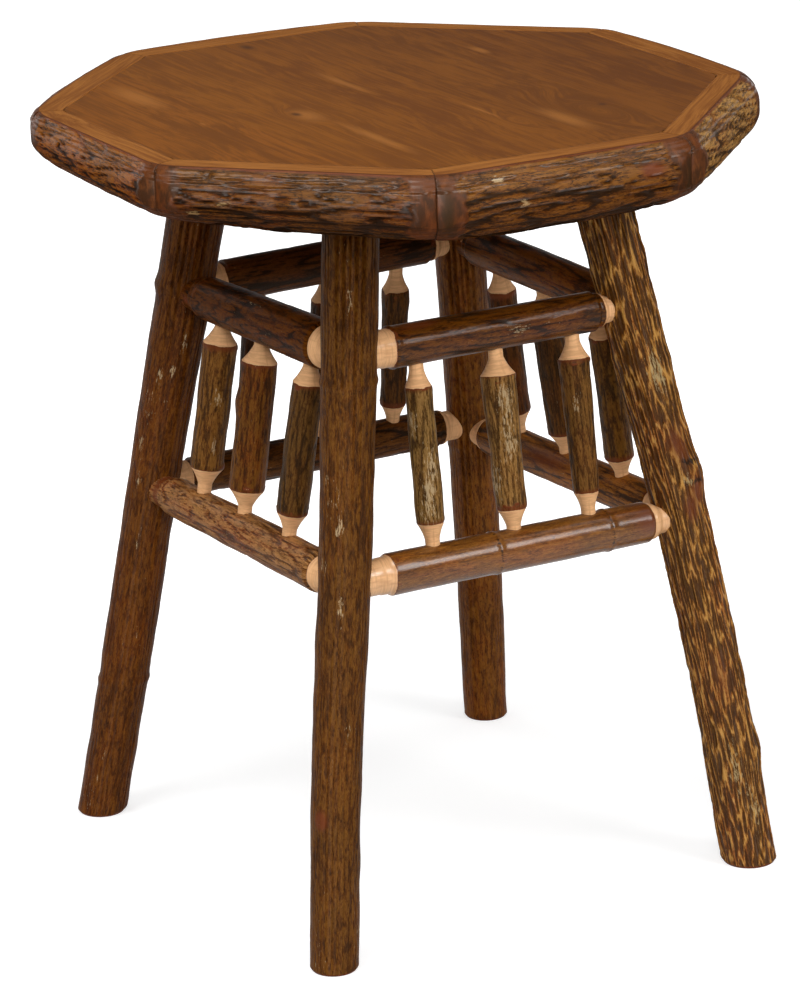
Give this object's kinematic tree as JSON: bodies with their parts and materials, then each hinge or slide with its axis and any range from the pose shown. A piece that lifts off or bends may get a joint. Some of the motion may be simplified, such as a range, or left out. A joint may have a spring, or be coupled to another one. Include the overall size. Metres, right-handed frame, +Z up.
{
  "type": "rustic occasional table",
  "caption": "Octagonal occasional table of bark-on hickory poles: splayed legs joined by rails and sharpened spindles under a plank top with a half-log rim.",
  "frame": {"origin": "on the floor under the middle of the octagonal top, about 6 mm from the middle of the bounding box because the legs splay unevenly", "axes": "+Z up; -Y towards the side seen as the front, where one leg stands; +X to that side's right"},
  "size_m": [0.7272, 0.717, 0.762],
  "materials": {
    "leg_bark": "smooth dark reddish-brown hickory bark under satin varnish",
    "rail_bark": "brown hickory bark under satin varnish, peeled pale wood at the ends",
    "spindle_bark": "grey-brown hickory bark under satin varnish, sharpened ends of pale turned wood",
    "rim_bark": "ridged hickory bark under satin varnish, with a sawn tan border on top",
    "top_wood": "brown-stained planks, satin varnish",
    "bearer_wood": "planed plain wood",
    "dowel_wood": "planed plain wood",
    "screw_steel": "yellow zinc plated"
  },
  "bodies": {
    "root": {"bearer_front_back": "bearer_wood", "bearer_left_right": "bearer_wood", "bearer_screws": "screw_steel", "leg_back": "leg_bark", "leg_front": "leg_bark", "leg_left": "leg_bark", "leg_right": "leg_bark", "rail_lower_back_left": "rail_bark", "rail_lower_back_right": "rail_bark", "rail_lower_front_left": "rail_bark", "rail_lower_front_right": "rail_bark", "rail_upper_back_left": "rail_bark", "rail_upper_back_right": "rail_bark", "rail_upper_front_left": "rail_bark", "rail_upper_front_right": "rail_bark", "rim_dowels": "dowel_wood", "rim_log_back": "rim_bark", "rim_log_back_left": "rim_bark", "rim_log_back_right": "rim_bark", "rim_log_front": "rim_bark", "rim_log_front_left": "rim_bark", "rim_log_front_right": "rim_bark", "rim_log_left": "rim_bark", "rim_log_right": "rim_bark", "spindle_back_left_1": "spindle_bark", "spindle_back_left_2": "spindle_bark", "spindle_back_left_3": "spindle_bark", "spindle_back_right_1": "spindle_bark", "spindle_back_right_2": "spindle_bark", "spindle_back_right_3": "spindle_bark", "spindle_front_left_1": "spindle_bark", "spindle_front_left_2": "spindle_bark", "spindle_front_left_3": "spindle_bark", "spindle_front_right_1": "spindle_bark", "spindle_front_right_2": "spindle_bark", "spindle_front_right_3": "spindle_bark", "top_board_1": "top_wood", "top_board_2": "top_wood", "top_board_3": "top_wood", "top_board_4": "top_wood", "top_board_5": "top_wood"}
  },
  "joints": []
}
